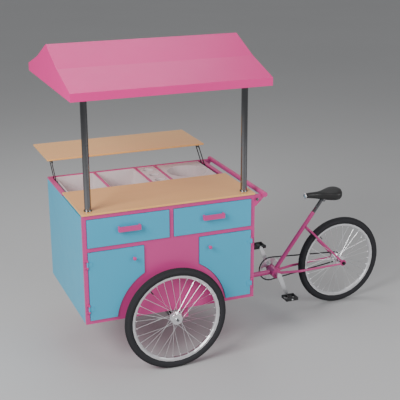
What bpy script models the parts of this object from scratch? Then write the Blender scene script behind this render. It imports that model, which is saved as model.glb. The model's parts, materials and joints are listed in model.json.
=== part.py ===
"""Ice cream tricycle: a cabinet on two front wheels, steered against a rear bicycle frame.

Metres, +Z up, +X towards the saddle, +Y towards the chain side. Lengths along X are measured
from the front axle; the whole vehicle then hangs from one empty that centres its box on the origin.
"""
import math

import bmesh
import bpy
from mathutils import Matrix, Vector

# Fits and clearances
SEAT_GAP = 0.0003
PANEL_GAP = 0.0025
PIN_PLAY = 0.0003

# Wheels
FRONT_TYRE_R = 0.330
REAR_TYRE_R = 0.318
TYRE_HEIGHT = 0.046
TYRE_WIDTH = 0.046
TREAD_BAND = 0.008
RIM_WIDTH = 0.028
RIM_DEPTH = 0.020
SPOKE_COUNT = 32
SPOKE_R = 0.0013
HUB_FLANGE_R = 0.034
HUB_BARREL_R = 0.021
HUB_HALF = 0.031
REAR_HUB_HALF = 0.040
HUB_BORE_R = 0.008
AXLE_R = 0.0077
WHEEL_OFFSET = 0.059
ROUND = 36

# Cabinet
BODY_LENGTH = 1.100
BODY_WIDTH = 0.864
BODY_BOTTOM = 0.359
BODY_TOP = 1.044
PANEL = 0.018
STILE = 0.0245
DRAWER_BOTTOM = 0.842
DRAWER_TOP = 1.021
DOOR_TOP = 0.8187
DOOR_BOTTOM = 0.380
DOOR_INNER_X = 0.1757
ARCH_R = 0.357
FRONT_PROUD = 0.006
RIM_HEIGHT = 0.012
RIM_END_WIDTH = 0.0265
INNER_WALL = 0.012
DRAWER_WALL = 0.010
DRAWER_DEPTH = 0.385
DRAWER_TRAVEL = 0.300
DECK_TOP = DRAWER_BOTTOM + SEAT_GAP
HINGE_R = 0.005
HINGE_PIN_R = 0.0022
HINGE_OUT = 0.003
HINGE_BARREL = 0.030
HINGE_Z = (0.460, 0.745)

# Counter, lid and its parallel arms
COUNTER_THICK = 0.012
COUNTER_DEPTH = 0.4576
LID_DEPTH = 0.427
LID_GAP = 0.003
LID_BACK = 0.378
LID_UP = 0.110
ARM_OPEN_ANGLE = math.radians(45)
ARM_PIVOT_DROP = 0.0125
ARM_THICK = 0.004
ARM_WIDTH = 0.008
ARM_X = 0.5165
ARM_SPACING = 0.060
ARM_INSET = 0.0145
ARM_PIN_R = 0.0022
LID_PLATE = 0.003

# Tubs in the cold bay, from the front of the vehicle to the back
DIVIDER = 0.016
DIVIDER_X = (-0.237, 0.048, 0.187)
TUB_WALL = 0.005
TUB_DEPTH = 0.170
TUB_END_X = 0.5075
TUB_SINK = 0.004
CUP_R = 0.036
CUP_SPACING = 0.122
CUP_DEPTH = 0.100
BOWL_R = 0.134
BOWL_CENTRE_X = 0.352
BOWL_DEPTH = 0.160

# Canopy
ROOF_LENGTH = 1.216
ROOF_HALF = 0.531
RIDGE_Z = 1.977
KINK_Y = 0.2486
KINK_Z = 1.872
EAVE_Z = 1.785
FASCIA_Z = 1.737
ROOF_SKIN = 0.008
ROOF_RAIL = 0.025
POST_X = 0.497
POST_Y = 0.3786
POST_R = 0.020

# Push bar behind the cabinet
BAR_OUT = 0.062
BAR_R = 0.016
BAR_Z = 1.040
BAR_OVERHANG = 0.018
BRACKET_THICK = 0.010
BRACKET_DROP = 0.072

# Under the cabinet
AXLE_BEAM = 0.036
AXLE_SADDLE_LENGTH = 0.140
CROSS_X = 0.100
CROSS_WIDTH = 0.030
CROSS_DROP = 0.080
PIVOT_X = 0.170
PIVOT_PIN_R = 0.010
PIVOT_SLEEVE_R = 0.024
PIVOT_PLATE = 0.010
PIVOT_LOW_Z = 0.236

# Rear frame
BOOM_R = 0.017
BRACKET_X = 0.910
BRACKET_Z = 0.306
BRACKET_SHELL_R = 0.034
BRACKET_SHELL_HALF = 0.045
SPINDLE_R = 0.0095
BOOM_Z = 0.290
SEAT_TUBE_R = 0.0145
SEAT_TUBE_TOP = (1.206, 0.704)
SEAT_POST_R = 0.0125
SEAT_POST_OUT = 0.125
STAY_R = 0.009
STAY_JOIN = 0.76
STAY_BEND_X = 1.085
STAY_HALF = 0.072
DROPOUT_R = 0.022
DROPOUT_THICK = 0.008
REAR_AXLE_X = 1.4215
SADDLE_NOSE_X = 1.125
SADDLE_LENGTH = 0.290
SADDLE_WIDTH = 0.160
SADDLE_Z = 0.832

# Drive
CRANK_LENGTH = 0.165
CRANK_ANGLE = math.radians(22)
CRANK_WIDTH = 0.022
CRANK_THICK = 0.012
CRANK_Y = 0.085
CHAIN_Y = 0.056
RING_TEETH = 42
SPROCKET_TEETH = 18
CHAIN_PITCH = 0.0127
CHAIN_HEIGHT = 0.009
CHAIN_WIDTH = 0.006
CHAIN_CLEAR = 0.0012
RING_THICK = 0.004
PEDAL_LENGTH = 0.094
PEDAL_WIDTH = 0.080
PEDAL_THICK = 0.024
PEDAL_PIN_R = 0.006

HALF_LENGTH = BODY_LENGTH / 2
HALF_WIDTH = BODY_WIDTH / 2
WHEEL_Y = HALF_WIDTH + WHEEL_OFFSET
REAR_Z = REAR_TYRE_R
MID_X = (REAR_AXLE_X + REAR_TYRE_R - ROOF_LENGTH / 2) / 2
COUNTER_REAR_Y = -HALF_WIDTH + COUNTER_DEPTH
BAY_FRONT_Y = COUNTER_REAR_Y
BAY_BACK_Y = HALF_WIDTH - PANEL
COLOURS = {
    "pink_paint": ((0.80, 0.16, 0.40), 0.35, 0.0),
    "blue_paint": ((0.16, 0.48, 0.63), 0.40, 0.0),
    "roof_pink": ((0.95, 0.27, 0.56), 0.40, 0.0),
    "wood": ((0.85, 0.56, 0.34), 0.35, 0.0),
    "tub_white": ((0.78, 0.72, 0.73), 0.45, 0.0),
    "chrome": ((0.75, 0.75, 0.76), 0.10, 1.0),
    "steel": ((0.45, 0.47, 0.50), 0.30, 1.0),
    "alloy": ((0.70, 0.70, 0.72), 0.28, 1.0),
    "tyre_rubber": ((0.02, 0.02, 0.022), 0.75, 0.0),
    "black_plastic": ((0.015, 0.015, 0.017), 0.45, 0.0),
    "saddle_vinyl": ((0.02, 0.02, 0.02), 0.35, 0.0),
}


def clear_scene():
    for item in list(bpy.data.objects):
        bpy.data.objects.remove(item, do_unlink=True)


def material(slot):
    """One Principled material for each finish."""
    found = bpy.data.materials.get(slot)
    if found:
        return found
    colour, roughness, metallic = COLOURS[slot]
    made = bpy.data.materials.new(slot)
    made.use_nodes = True
    shader = made.node_tree.nodes["Principled BSDF"]
    shader.inputs["Base Color"].default_value = (*colour, 1)
    shader.inputs["Roughness"].default_value = roughness
    shader.inputs["Metallic"].default_value = metallic
    return made


def finish_mesh(name, shape, slot, smooth=False):
    """Turns a bmesh into a named object under the vehicle's empty."""
    bmesh.ops.recalc_face_normals(shape, faces=shape.faces)
    mesh = bpy.data.meshes.new(name)
    shape.to_mesh(mesh)
    shape.free()
    made = bpy.data.objects.new(name, mesh)
    bpy.context.scene.collection.objects.link(made)
    made.parent = bpy.data.objects["vehicle"]
    mesh.materials.append(material(slot))
    if smooth:
        mesh.shade_smooth()
        mesh.set_sharp_from_angle(angle=math.radians(35))
    return made


def block(name, low, high, slot, bevel=0.0):
    """A rectangular piece between two corners."""
    shape = bmesh.new()
    bmesh.ops.create_cube(shape, size=1)
    low, high = Vector(low), Vector(high)
    for point in shape.verts:
        point.co = Vector([low[k] + (point.co[k] + 0.5) * (high[k] - low[k]) for k in range(3)])
    if bevel:
        bmesh.ops.bevel(shape, geom=list(shape.edges), offset=bevel, segments=1, affect="EDGES")
    return finish_mesh(name, shape, slot)


def plate(name, outline, axis, start, end, slot):
    """An outline of 2-D points extruded along one axis from start to end."""
    places = {
        "X": lambda a, b, c: (c, a, b),
        "Y": lambda a, b, c: (a, c, b),
        "Z": lambda a, b, c: (a, b, c),
    }
    place = places[axis]
    shape = bmesh.new()
    loop = [shape.verts.new(place(a, b, start)) for a, b in outline]
    face = shape.faces.new(loop)
    grown = bmesh.ops.extrude_face_region(shape, geom=[face])
    moved = [item for item in grown["geom"] if isinstance(item, bmesh.types.BMVert)]
    shift = Vector(place(0, 0, end)) - Vector(place(0, 0, start))
    bmesh.ops.translate(shape, verts=moved, vec=shift)
    return finish_mesh(name, shape, slot)


def turned(name, profile, centre, slot, axis="Y", steps=ROUND, ring=True, flat=False):
    """A profile of (radius, along) points turned round an axis; ring closes it on itself,
    and flat keeps each radius at the middle of its facets, one of which faces the ground."""
    shape = bmesh.new()
    centre = Vector(centre)
    grow = 1 / math.cos(math.pi / steps) if flat else 1.0
    rows = []
    for radius, along in profile:
        row = []
        count = 1 if radius < 1e-9 else steps
        for k in range(count):
            turn = 2 * math.pi * (k + 0.5 * flat) / steps
            side, up = grow * radius * math.cos(turn), grow * radius * math.sin(turn)
            spot = {"X": (along, side, up), "Y": (side, along, up), "Z": (side, up, along)}[axis]
            row.append(shape.verts.new(centre + Vector(spot)))
        rows.append(row)
    pairs = list(zip(rows, rows[1:]))
    if ring:
        pairs.append((rows[-1], rows[0]))
    for first, second in pairs:
        for k in range(steps):
            after = (k + 1) % steps
            corners = [first[k % len(first)], first[after % len(first)],
                       second[after % len(second)], second[k % len(second)]]
            unique = list(dict.fromkeys(corners))
            if len(unique) > 2:
                shape.faces.new(unique)
    return finish_mesh(name, shape, slot, smooth=True)


def rod(name, points, radius, slot, sides=12):
    """A round bar or tube body swept through its points, with flat ends."""
    shape = bmesh.new()
    points = [Vector(p) for p in points]
    rows = []
    side = None
    for k, point in enumerate(points):
        before = (point - points[k - 1]).normalized() if k else None
        after = (points[k + 1] - point).normalized() if k + 1 < len(points) else None
        along = ((before or after) + (after or before)).normalized()
        if side is None:
            side = along.orthogonal().normalized()
        side = (side - along * side.dot(along)).normalized()
        other = along.cross(side)
        spread = radius if isinstance(radius, (int, float)) else radius[k]
        stretch = 1 / max(0.5, along.dot(after or before))
        bend = (after - before) if before and after else Vector()
        bend = bend.normalized() if bend.length > 1e-6 else Vector()
        row = []
        for n in range(sides):
            turn = 2 * math.pi * n / sides
            out = (side * math.cos(turn) + other * math.sin(turn)) * spread
            out += bend * (out.dot(bend) * (stretch - 1))
            row.append(shape.verts.new(point + out))
        rows.append(row)
    for first, second in zip(rows, rows[1:]):
        for n in range(sides):
            after = (n + 1) % sides
            shape.faces.new((first[n], first[after], second[after], second[n]))
    shape.faces.new(rows[0][::-1])
    shape.faces.new(rows[-1])
    return finish_mesh(name, shape, slot, smooth=True)


def combine(target, others, operation):
    """Joins or cuts pieces with exact Booleans and applies the result to target."""
    for other in others:
        step = target.modifiers.new("step", "BOOLEAN")
        step.operation = operation
        step.object = other
        step.solver = "EXACT"
        step.use_self = operation == "UNION"
    bpy.context.view_layer.update()
    graph = bpy.context.evaluated_depsgraph_get()
    result = bpy.data.meshes.new_from_object(target.evaluated_get(graph))
    target.modifiers.clear()
    target.data = result
    for other in others:
        bpy.data.objects.remove(other, do_unlink=True)
    return target


def join(target, *others):
    return combine(target, others, "UNION")


def cut(target, *others):
    return combine(target, others, "DIFFERENCE")


def loose(name, pieces, slot):
    """Several closed shapes held in one mesh, to be joined to a carrier in one step."""
    shape = bmesh.new()
    for piece in pieces:
        shape.from_mesh(piece.data)
        bpy.data.objects.remove(piece, do_unlink=True)
    mesh = bpy.data.meshes.new(name)
    shape.to_mesh(mesh)
    shape.free()
    made = bpy.data.objects.new(name, mesh)
    bpy.context.scene.collection.objects.link(made)
    made.parent = bpy.data.objects["vehicle"]
    mesh.materials.append(material(slot))
    return made


def arc(centre, radius, start, end, steps):
    """Points of a circle's stretch, angles in radians."""
    return [
        (centre[0] + radius * math.cos(start + (end - start) * k / steps),
         centre[1] + radius * math.sin(start + (end - start) * k / steps))
        for k in range(steps + 1)
    ]


# Wheels


def tyre(name, centre, radius):
    """A balloon tyre: round outside, flat where it sits on the rim."""
    half = TYRE_WIDTH / 2
    bead = radius - TYRE_HEIGHT
    crown = radius - half
    profile = [(bead, -RIM_WIDTH / 2)]
    for side in (-1, 1):
        turns = [math.radians(side * a) for a in (110, 88, 66, 44, 24)][::-side]
        profile += [(crown + half * math.cos(t), half * math.sin(t)) for t in turns]
        if side < 0:
            profile += [(radius, -TREAD_BAND), (radius, TREAD_BAND)]
    profile += [(bead, RIM_WIDTH / 2)]
    return turned(name, profile, centre, "tyre_rubber", flat=True)


def spoke_points(side, count, rim_r, flange_y):
    """Start and end of each spoke on one side, leaving the flange at a slant."""
    for k in range(count):
        turn = 2 * math.pi * (k + 0.25 * side) / count
        lean = math.radians(42) * (1 if k % 2 else -1)
        start = Vector(((HUB_FLANGE_R - 0.004) * math.cos(turn + lean), flange_y,
                        (HUB_FLANGE_R - 0.004) * math.sin(turn + lean)))
        end = Vector((rim_r * math.cos(turn), 0.0, rim_r * math.sin(turn)))
        yield start, end


def spoked_wheel(name, centre, radius, hub_half, barrel_r):
    """Rim, two cones of spokes and a flanged hub, as one laced wheel."""
    centre = Vector(centre)
    outer = radius - TYRE_HEIGHT - SEAT_GAP
    inner = outer - RIM_DEPTH
    half = RIM_WIDTH / 2
    rim = turned(name, [(outer, -half), (outer, half), (inner + 0.008, half), (inner, half * 0.45),
                        (inner, -half * 0.45), (inner + 0.008, -half)], centre, "alloy", flat=True)
    flange = 0.004
    hub = turned("hub", [
        (0, -hub_half), (0.014, -hub_half), (0.016, -hub_half + 0.006),
        (HUB_FLANGE_R, -hub_half + 0.008), (HUB_FLANGE_R, -hub_half + 0.008 + flange),
        (barrel_r, -hub_half + 0.018), (barrel_r, hub_half - 0.018),
        (HUB_FLANGE_R, hub_half - 0.008 - flange), (HUB_FLANGE_R, hub_half - 0.008),
        (0.016, hub_half - 0.006), (0.014, hub_half), (0, hub_half)],
        centre, "alloy", steps=24, ring=False)
    spokes = []
    for side in (-1, 1):
        flange_y = side * (hub_half - 0.010)
        for start, end in spoke_points(side, SPOKE_COUNT // 2, inner + 0.004, flange_y):
            spokes.append(rod("spoke", [centre + start, centre + end], SPOKE_R, "alloy", sides=3))
    join(rim, hub, loose("spokes", spokes, "alloy"))
    bore = turned("bore", [(0, -0.1), (HUB_BORE_R, -0.1), (HUB_BORE_R, 0.1), (0, 0.1)],
                  centre, "alloy", steps=24, ring=False)
    return cut(rim, bore)


def wheels():
    for name, side in (("left", -1), ("right", 1)):
        spot = (0, side * WHEEL_Y, FRONT_TYRE_R)
        tyre(f"front_tyre_{name}", spot, FRONT_TYRE_R)
        spoked_wheel(f"front_wheel_{name}", spot, FRONT_TYRE_R, HUB_HALF, HUB_BARREL_R)
    spot = (REAR_AXLE_X, 0, REAR_Z)
    tyre("rear_tyre", spot, REAR_TYRE_R)
    spoked_wheel("rear_wheel", spot, REAR_TYRE_R, REAR_HUB_HALF, HUB_BARREL_R)
    sprocket = toothed_disc("sprocket", REAR_AXLE_X, REAR_Z, SPROCKET_TEETH)
    neck = turned("neck", [(0, REAR_HUB_HALF + SEAT_GAP), (0.0175, REAR_HUB_HALF + SEAT_GAP),
                           (0.0175, CHAIN_Y + RING_THICK / 2 + 0.001),
                           (0, CHAIN_Y + RING_THICK / 2 + 0.001)],
                  spot, "alloy", steps=24, ring=False)
    join(sprocket, neck)
    bore = turned("bore", [(0, -0.1), (HUB_BORE_R, -0.1), (HUB_BORE_R, 0.1), (0, 0.1)],
                  spot, "alloy", steps=24, ring=False)
    cut(sprocket, bore)


# Drive


def pitch_radius(teeth):
    return teeth * CHAIN_PITCH / (2 * math.pi)


def tooth_tip(teeth):
    return pitch_radius(teeth) - CHAIN_HEIGHT / 2 - CHAIN_CLEAR


def toothed_disc(name, x, z, teeth):
    """A sprocket plate with one tooth a link; the chain runs just clear of the tips."""
    tip = tooth_tip(teeth)
    root = tip - 0.004
    outline = []
    for k in range(teeth):
        for share, radius in ((0.0, root), (0.35, root), (0.5, tip), (0.75, tip)):
            turn = 2 * math.pi * (k + share) / teeth
            outline.append((x + radius * math.cos(turn), z + radius * math.sin(turn)))
    return plate(name, outline, "Y", CHAIN_Y - RING_THICK / 2, CHAIN_Y + RING_THICK / 2, "alloy")


def chain_path():
    """Unit loop of the chain round both sprockets: (centre, radius) arcs joined by tangents."""
    front = Vector((BRACKET_X, BRACKET_Z))
    rear = Vector((REAR_AXLE_X, REAR_Z))
    big, small = pitch_radius(RING_TEETH), pitch_radius(SPROCKET_TEETH)
    span = rear - front
    base = math.atan2(span.y, span.x)
    tilt = math.acos((big - small) / span.length)
    return front, rear, big, small, base + tilt, base - tilt


def chain_loop(offset, bumps):
    """Closed outline of the chain at an offset from its pitch line, with a wave for its links."""
    front, rear, big, small, top, low = chain_path()
    points = []
    steps = 2 * RING_TEETH // 3
    rear_steps = SPROCKET_TEETH // 2
    for k in range(steps + 1):
        turn = top + (low + 2 * math.pi - top) * k / steps
        points.append(front + Vector((math.cos(turn), math.sin(turn))) * (big + offset + bumps * (k % 2)))
    for k in range(rear_steps + 1):
        turn = low + (top - low) * k / rear_steps
        points.append(rear + Vector((math.cos(turn), math.sin(turn))) * (small + offset + bumps * (k % 2)))
    return [tuple(p) for p in points]


def chain():
    outer = plate("chain", chain_loop(CHAIN_HEIGHT / 2, 0.0), "Y",
                  CHAIN_Y - CHAIN_WIDTH / 2, CHAIN_Y + CHAIN_WIDTH / 2, "steel")
    inner = plate("inside", chain_loop(-CHAIN_HEIGHT / 2, 0.0), "Y",
                  CHAIN_Y - CHAIN_WIDTH, CHAIN_Y + CHAIN_WIDTH, "steel")
    cut(outer, inner)


def crank_end(side):
    """Centre of a pedal's spindle in X and Z: the left arm points down and back."""
    return (BRACKET_X - side * CRANK_LENGTH * math.sin(CRANK_ANGLE),
            BRACKET_Z + side * CRANK_LENGTH * math.cos(CRANK_ANGLE))


def crank_arm(side):
    """A flat arm with round ends, wider at the spindle."""
    end_x, end_z = crank_end(side)
    lean = math.atan2(end_z - BRACKET_Z, end_x - BRACKET_X)
    outline = arc((BRACKET_X, BRACKET_Z), CRANK_WIDTH * 0.75, lean + math.pi * 0.55,
                  lean + math.pi * 1.45, 8)
    outline += arc((end_x, end_z), CRANK_WIDTH / 2, lean - math.pi / 2, lean + math.pi / 2, 8)
    return plate("arm", outline, "Y", side * CRANK_Y - CRANK_THICK / 2,
                 side * CRANK_Y + CRANK_THICK / 2, "alloy")


def crankset():
    """Spindle, both arms, pedal pins and the chainring with its five windows."""
    reach = CRANK_Y + CRANK_THICK / 2
    made = rod("crankset", [(BRACKET_X, -reach, BRACKET_Z), (BRACKET_X, reach, BRACKET_Z)],
               SPINDLE_R, "alloy", sides=16)
    ring = toothed_disc("ring", BRACKET_X, BRACKET_Z, RING_TEETH)
    windows = []
    middle = tooth_tip(RING_TEETH) * 0.62
    for k in range(5):
        turn = 2 * math.pi * (k + 0.5) / 5
        windows.append(turned("window", [(0, -0.02), (0.019, -0.02), (0.019, 0.02), (0, 0.02)],
                              (BRACKET_X + middle * math.cos(turn), CHAIN_Y,
                               BRACKET_Z + middle * math.sin(turn)), "alloy", steps=12, ring=False))
    cut(ring, loose("windows", windows, "alloy"))
    boss = rod("boss", [(BRACKET_X, CHAIN_Y - RING_THICK / 2, BRACKET_Z),
                        (BRACKET_X, CRANK_Y, BRACKET_Z)], 0.020, "alloy", sides=16)
    pins = []
    for side in (-1, 1):
        x, z = crank_end(side)
        pins.append(rod("pin", [(x, side * (CRANK_Y - 0.004), z),
                                (x, side * (CRANK_Y + CRANK_THICK / 2 + 0.004 + PEDAL_WIDTH), z)],
                        PEDAL_PIN_R, "alloy", sides=10))
    join(made, ring, boss, crank_arm(-1), crank_arm(1), *pins)


def pedal(name, side):
    """A black cage pedal: end caps, two treads and a barrel on the pin."""
    x, z = crank_end(side)
    near = side * (CRANK_Y + CRANK_THICK / 2 + 0.003)
    far = near + side * PEDAL_WIDTH
    low, high = min(near, far), max(near, far)
    half, thick = PEDAL_LENGTH / 2, PEDAL_THICK / 2
    made = block(name, (x - half, low, z - thick), (x + half, high, z + thick), "black_plastic", 0.004)
    slots = []
    for sign in (-1, 1):
        edges = sorted((x + sign * 0.013, x + sign * (half - 0.010)))
        slots.append(block("slot", (edges[0], low + 0.010, z - 0.05),
                           (edges[1], high - 0.010, z + 0.05), "black_plastic"))
        waist = sorted((thick - 0.005, thick + 0.01))
        slots.append(block("waist", (x - half - 0.01, low + 0.012, z + min(sign * waist[0], sign * waist[1])),
                           (x + half + 0.01, high - 0.012, z + max(sign * waist[0], sign * waist[1])),
                           "black_plastic"))
    bore = rod("bore", [(x, low - 0.02, z), (x, high + 0.02, z)], PEDAL_PIN_R + PIN_PLAY * 2,
               "black_plastic", sides=10)
    cut(made, *slots, bore)


# Rear frame


def rear_frame():
    """Boom, seat tube with the bottom bracket, paired stays and the saddle."""
    shell_low = (BRACKET_X, -BRACKET_SHELL_HALF, BRACKET_Z)
    shell_high = (BRACKET_X, BRACKET_SHELL_HALF, BRACKET_Z)
    top = Vector((SEAT_TUBE_TOP[0], 0, SEAT_TUBE_TOP[1]))
    foot = Vector((BRACKET_X, 0, BRACKET_Z))
    lean = (top - foot).normalized()
    seat_tube = rod("seat_tube", [foot, top], SEAT_TUBE_R, "pink_paint", sides=16)
    shell = rod("shell", [shell_low, shell_high], BRACKET_SHELL_R, "pink_paint", sides=24)
    join(seat_tube, shell)
    bore = rod("bore", [(BRACKET_X, -0.1, BRACKET_Z), (BRACKET_X, 0.1, BRACKET_Z)],
               SPINDLE_R + PIN_PLAY * 2, "pink_paint", sides=16)
    socket = rod("socket", [top - lean * 0.16, top + lean * 0.02], SEAT_POST_R + SEAT_GAP,
                 "pink_paint", sides=16)
    cut(seat_tube, bore, socket)
    sleeve_low = PIVOT_LOW_Z + PIVOT_PLATE + 0.001
    sleeve_high = BODY_BOTTOM - PIVOT_PLATE - 0.001 - SEAT_GAP
    boom = rod("boom", [(PIVOT_X, 0, BOOM_Z), (BRACKET_X - BRACKET_SHELL_R - SEAT_GAP, 0, BRACKET_Z)],
               BOOM_R, "pink_paint", sides=16)
    sleeve = rod("sleeve", [(PIVOT_X, 0, sleeve_low), (PIVOT_X, 0, sleeve_high)], PIVOT_SLEEVE_R,
                 "pink_paint", sides=24)
    pin_bore = rod("pin_bore", [(PIVOT_X, 0, sleeve_low - 0.02), (PIVOT_X, 0, sleeve_high + 0.02)],
                   PIVOT_PIN_R + PIN_PLAY, "pink_paint", sides=20)
    join(boom, sleeve)
    hollow = rod("hollow", [shell_low, shell_high], BRACKET_SHELL_R + SEAT_GAP, "pink_paint", sides=24)
    cut(boom, pin_bore, hollow)
    junction = foot + (top - foot) * STAY_JOIN
    for name, side in (("left", -1), ("right", 1)):
        chain_stay(name, side)
        seat_stay(name, side, junction)
    rod("rear_axle", [(REAR_AXLE_X, -STAY_HALF - 0.022, REAR_Z), (REAR_AXLE_X, STAY_HALF + 0.022, REAR_Z)],
        AXLE_R, "steel", sides=16)
    nuts = [rod("nut", [(REAR_AXLE_X, side * (STAY_HALF + DROPOUT_THICK / 2 + SEAT_GAP), REAR_Z),
                        (REAR_AXLE_X, side * (STAY_HALF + 0.017), REAR_Z)], 0.012, "steel", sides=6)
            for side in (-1, 1)]
    join(bpy.data.objects["rear_axle"], *nuts)


def dropout(side):
    made = rod("dropout", [(REAR_AXLE_X, side * STAY_HALF - DROPOUT_THICK / 2, REAR_Z),
                           (REAR_AXLE_X, side * STAY_HALF + DROPOUT_THICK / 2, REAR_Z)],
               DROPOUT_R, "pink_paint", sides=20)
    return made


def chain_stay(name, side):
    """One lower stay: out of the shell, a bend clear of the tyre, then back to the dropout."""
    start = Vector((BRACKET_X + BRACKET_SHELL_R * 0.86, side * 0.026, BRACKET_Z - 0.006))
    bend = Vector((STAY_BEND_X, side * STAY_HALF * 0.82, BRACKET_Z - 0.004))
    end = Vector((REAR_AXLE_X - DROPOUT_R * 0.6, side * STAY_HALF, REAR_Z - 0.006))
    made = rod(f"chain_stay_{name}", [start, bend, end], (STAY_R, STAY_R, STAY_R * 0.72),
               "pink_paint", sides=12)
    join(made, dropout(side))
    shell = rod("shell", [(BRACKET_X, -0.1, BRACKET_Z), (BRACKET_X, 0.1, BRACKET_Z)],
                BRACKET_SHELL_R + SEAT_GAP, "pink_paint", sides=24)
    bore = rod("bore", [(REAR_AXLE_X, -0.2, REAR_Z), (REAR_AXLE_X, 0.2, REAR_Z)],
               AXLE_R + SEAT_GAP, "pink_paint", sides=16)
    cut(made, shell, bore)


def seat_stay(name, side, junction):
    """One upper stay from the seat tube's flank down to the dropout's rim."""
    start = junction + Vector((SEAT_TUBE_R * 0.6, side * SEAT_TUBE_R * 0.95, 0))
    bend = start + Vector((0.035, side * 0.026, -0.037))
    end = Vector((REAR_AXLE_X, side * STAY_HALF, REAR_Z))
    reach = (end - bend).normalized()
    made = rod(f"seat_stay_{name}", [start, bend, end - reach * (DROPOUT_R * 0.8)],
               (STAY_R * 0.8, STAY_R * 0.8, STAY_R * 0.62), "pink_paint", sides=12)
    foot = Vector((BRACKET_X, 0, BRACKET_Z))
    top = Vector((SEAT_TUBE_TOP[0], 0, SEAT_TUBE_TOP[1]))
    tube = rod("tube", [foot, top], SEAT_TUBE_R + SEAT_GAP, "pink_paint", sides=16)
    hole = rod("hole", [(REAR_AXLE_X, -0.2, REAR_Z), (REAR_AXLE_X, 0.2, REAR_Z)],
               DROPOUT_R + SEAT_GAP, "pink_paint", sides=20)
    cut(made, tube, hole)


def saddle_section(share):
    """Half width, top and underside of the saddle at a share of its length from the nose."""
    nose, wide = 0.019, SADDLE_WIDTH / 2
    flare = max(0.0, (share - 0.38) / 0.62)
    width = nose + (wide - nose) * (math.sin(min(1.0, flare * 1.25) * math.pi / 2) ** 1.6) + 0.012 * share
    close = math.sqrt(max(0.0, 1 - abs((share - 0.5) / 0.5) ** 7))
    top = 0.022 + 0.018 * share ** 2 - 0.008 * math.sin(math.pi * share)
    low = -0.020 - 0.036 * math.sin(min(1.0, share * 1.2) * math.pi / 2) ** 2
    return width * close, top * (0.35 + 0.65 * close), low * (0.35 + 0.65 * close)


def saddle():
    """The padded saddle: a loft of rounded sections from nose to tail, on its post."""
    sections, sides = 12, 12
    shape = bmesh.new()
    rows = []
    for k in range(sections + 1):
        share = 0.004 + 0.992 * k / sections
        half, top, low = saddle_section(share)
        x = SADDLE_NOSE_X + SADDLE_LENGTH * share
        row = []
        for n in range(sides):
            turn = 2 * math.pi * n / sides
            flat = math.copysign(abs(math.cos(turn)) ** 0.7, math.cos(turn))
            rise = math.sin(turn)
            z = top * rise if rise > 0 else -low * rise
            row.append(shape.verts.new((x, half * flat, SADDLE_Z + z)))
        rows.append(row)
    for first, second in zip(rows, rows[1:]):
        for n in range(sides):
            after = (n + 1) % sides
            shape.faces.new((first[n], first[after], second[after], second[n]))
    shape.faces.new(rows[0][::-1])
    shape.faces.new(rows[-1])
    made = finish_mesh("saddle", shape, "saddle_vinyl", smooth=True)
    foot = Vector((BRACKET_X, 0, BRACKET_Z))
    top = Vector((SEAT_TUBE_TOP[0], 0, SEAT_TUBE_TOP[1]))
    lean = (top - foot).normalized()
    reach = top + lean * SEAT_POST_OUT
    rod("seat_post", [top - lean * 0.15, reach], SEAT_POST_R, "chrome", sides=16)
    pocket = rod("pocket", [top, reach + lean * SEAT_GAP], SEAT_POST_R + SEAT_GAP, "saddle_vinyl", sides=16)
    cut(made, pocket)


# Under the cabinet


def axle():
    """Square cross beam under the floor, its saddle plates and the stub axles for the hubs."""
    half = AXLE_BEAM / 2
    floor_z = BODY_BOTTOM - SEAT_GAP
    reach = HALF_WIDTH - 0.030
    made = block("front_axle", (-half, -reach, FRONT_TYRE_R - half), (half, reach, FRONT_TYRE_R + half), "steel")
    long_half = AXLE_SADDLE_LENGTH / 2
    extras = []
    for side in (-1, 1):
        edges = sorted((side * (reach - 0.070), side * (reach - 0.010)))
        extras.append(block("saddle_plate", (-long_half, edges[0], FRONT_TYRE_R + half - 0.002),
                            (long_half, edges[1], floor_z), "steel"))
        extras.append(rod("stub", [(0, side * (reach - 0.05), FRONT_TYRE_R),
                                   (0, side * (WHEEL_Y + HUB_HALF), FRONT_TYRE_R)],
                          AXLE_R, "steel", sides=16))
        hub_in = WHEEL_Y - HUB_HALF - 0.0008
        extras.append(rod("shoulder", [(0, side * (reach - 0.02), FRONT_TYRE_R),
                                       (0, side * hub_in, FRONT_TYRE_R)], 0.013, "steel", sides=16))
    join(made, *extras)


def underframe():
    """Cross member under the floor with the clevis that holds the steering pin."""
    floor_z = BODY_BOTTOM - SEAT_GAP
    low_z = floor_z - CROSS_DROP
    half = CROSS_WIDTH / 2
    reach = HALF_WIDTH - 0.032
    made = block("underframe", (CROSS_X - half, -reach, low_z), (CROSS_X + half, reach, floor_z), "pink_paint")
    plate_half = 0.034
    outline = [(CROSS_X - half, -plate_half), (PIVOT_X, -plate_half)]
    outline += arc((PIVOT_X, 0), plate_half, -math.pi / 2, math.pi / 2, 10)[1:]
    outline += [(CROSS_X - half, plate_half)]
    upper = plate("upper", outline, "Z", floor_z - PIVOT_PLATE, floor_z, "pink_paint")
    lower = plate("lower", outline, "Z", PIVOT_LOW_Z, PIVOT_LOW_Z + PIVOT_PLATE, "pink_paint")
    web = block("web", (CROSS_X - half, -plate_half, PIVOT_LOW_Z),
                (CROSS_X + half, plate_half, low_z + 0.010), "pink_paint")
    pin = rod("pin", [(PIVOT_X, 0, PIVOT_LOW_Z - 0.008), (PIVOT_X, 0, floor_z - 0.002)], PIVOT_PIN_R,
              "pink_paint", sides=20)
    head = rod("head", [(PIVOT_X, 0, PIVOT_LOW_Z - 0.014), (PIVOT_X, 0, PIVOT_LOW_Z + 0.001)], 0.018,
               "pink_paint", sides=6)
    join(made, upper, lower, web, pin, head)


# Cabinet


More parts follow.
